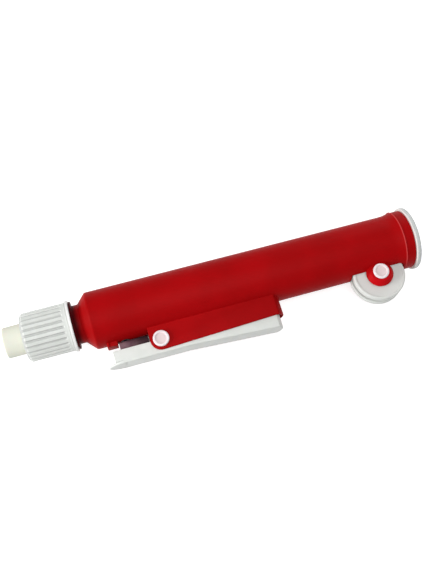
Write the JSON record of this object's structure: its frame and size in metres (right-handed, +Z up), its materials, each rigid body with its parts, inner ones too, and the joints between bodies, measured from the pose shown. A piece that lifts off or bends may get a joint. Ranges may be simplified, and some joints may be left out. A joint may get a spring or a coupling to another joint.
{
  "type": "pipette pump",
  "caption": "Hand pipette pump: red barrel, rack plunger with thumb plate, thumbwheel, sprung vent lever and a screwed chuck for the pipette.",
  "frame": {"origin": "centre of the footprint of the pump lying on its side, on the surface that it lies on", "axes": "+X along the barrel towards the thumb plate, +Z up along the wheel axle, lever and wheel on the -Y side"},
  "size_m": [0.2216, 0.0478, 0.0339],
  "materials": {
    "red_plastic": "moulded, satin",
    "white_plastic": "moulded, satin",
    "pin_plastic": "moulded",
    "ivory_rubber": "matt",
    "black_rubber": "matt",
    "grey_silicone": "satin",
    "spring_steel": "drawn wire"
  },
  "bodies": {
    "housing": {"barrel_housing": "red_plastic", "vent_seat": "black_rubber", "rod_guide": "white_plastic", "wheel_axle": "pin_plastic", "wheel_axle_cap": "pin_plastic", "lever_pin": "pin_plastic", "lever_pin_cap": "pin_plastic", "chuck_gasket": "black_rubber"},
    "plunger": {"plunger_rod": "white_plastic", "piston_head": "white_plastic", "piston_seal_front": "black_rubber", "piston_seal_rear": "black_rubber", "thumb_plate": "white_plastic"},
    "thumbwheel": {"thumbwheel_near_disc": "white_plastic", "thumbwheel_far_disc": "white_plastic", "drive_pinion": "white_plastic"},
    "lever": {"release_lever": "white_plastic", "valve_pad": "grey_silicone", "lever_spring": "spring_steel"},
    "chuck": {"pipette_chuck": "ivory_rubber"},
    "nut": {"chuck_nut": "white_plastic"}
  },
  "joints": [
    {"name": "plunger_slide", "type": "slide", "parent": "housing", "child": "plunger", "axis": [1, 0, 0], "range_m": [0, 0.062]},
    {"name": "wheel_turn", "type": "hinge", "parent": "housing", "child": "thumbwheel", "pos_m": [0.08662, -0.00988, 0.01697], "axis": [0, 0, 1], "range_deg": [-593, 0]},
    {"name": "lever_rock", "type": "hinge", "parent": "housing", "child": "lever", "pos_m": [-0.03372, -0.01388, 0.01697], "axis": [0, 0, 1], "range_deg": [0, 4.5], "stiffness_Nm_per_rad": 0.8, "springref_deg": -2.29, "deforming": ["lever_spring"]},
    {"name": "chuck_slide", "type": "slide", "parent": "housing", "child": "chuck", "axis": [-1, 0, 0], "range_m": [0, 0.005]},
    {"name": "nut_turn", "type": "hinge", "parent": "chuck", "child": "nut", "pos_m": [-0.08588, 0.00692, 0.01697], "axis": [-1, 0, 0], "range_deg": [0, 450.5]}
  ],
  "couplings": [
    {"joint": "wheel_turn", "follows": "plunger_slide", "rad_per_m": -166.67},
    {"joint": "nut_turn", "follows": "chuck_slide", "rad_per_m": 1570.8}
  ]
}
